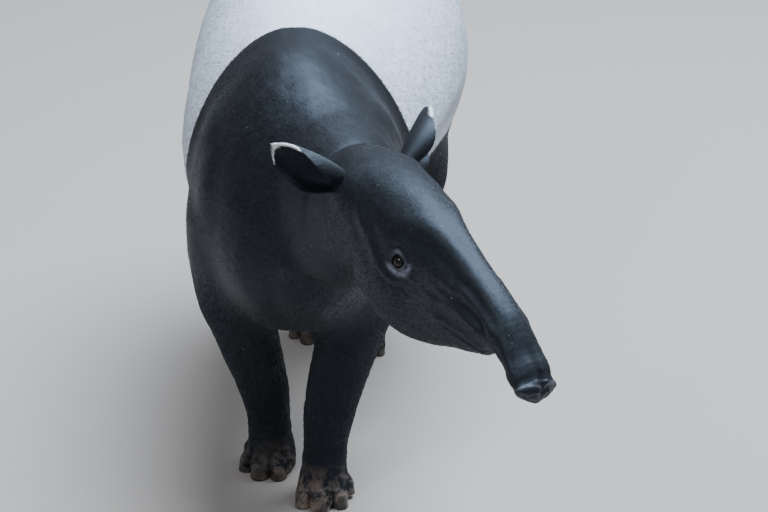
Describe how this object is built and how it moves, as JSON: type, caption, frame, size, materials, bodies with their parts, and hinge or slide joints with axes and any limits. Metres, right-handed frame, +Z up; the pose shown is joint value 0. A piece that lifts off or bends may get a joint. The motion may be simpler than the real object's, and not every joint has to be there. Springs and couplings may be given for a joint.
{
  "type": "standing malayan tapir",
  "caption": "Life-size still model of an adult tapir that stands with its head turned to its left: black fore and hind quarters, a white saddle and a drooping snout.",
  "frame": {"origin": "middle of the underside of the bounding box, on the floor", "axes": "-Y is the way the body faces, +X is the animal's left side, +Z is up"},
  "size_m": [0.9126, 1.859, 1.0385],
  "materials": {
    "black_skin": "short sleek black hair with a faint blue sheen",
    "white_skin": "short greyish white hair with fine dark flecks",
    "eye": "wet dark brown",
    "nail": "dull dusty horn"
  },
  "bodies": {
    "root": {"forequarters": "black_skin", "thigh_left": "black_skin", "thigh_right": "black_skin", "neck": "black_skin", "head": "black_skin", "lower_jaw": "black_skin", "proboscis": "black_skin", "ear_left": "black_skin", "ear_right": "black_skin", "leg_fore_left": "black_skin", "leg_fore_right": "black_skin", "leg_hind_left": "black_skin", "leg_hind_right": "black_skin", "foot_fore_left": "black_skin", "foot_fore_right": "black_skin", "foot_hind_left": "black_skin", "foot_hind_right": "black_skin", "saddle": "white_skin", "tail": "white_skin", "eye_left": "eye", "eye_right": "eye", "nail_fore_left_1": "nail", "nail_fore_left_2": "nail", "nail_fore_left_3": "nail", "nail_fore_left_4": "nail", "nail_fore_right_1": "nail", "nail_fore_right_2": "nail", "nail_fore_right_3": "nail", "nail_fore_right_4": "nail", "nail_hind_left_1": "nail", "nail_hind_left_2": "nail", "nail_hind_left_3": "nail", "nail_hind_right_1": "nail", "nail_hind_right_2": "nail", "nail_hind_right_3": "nail"}
  },
  "joints": []
}
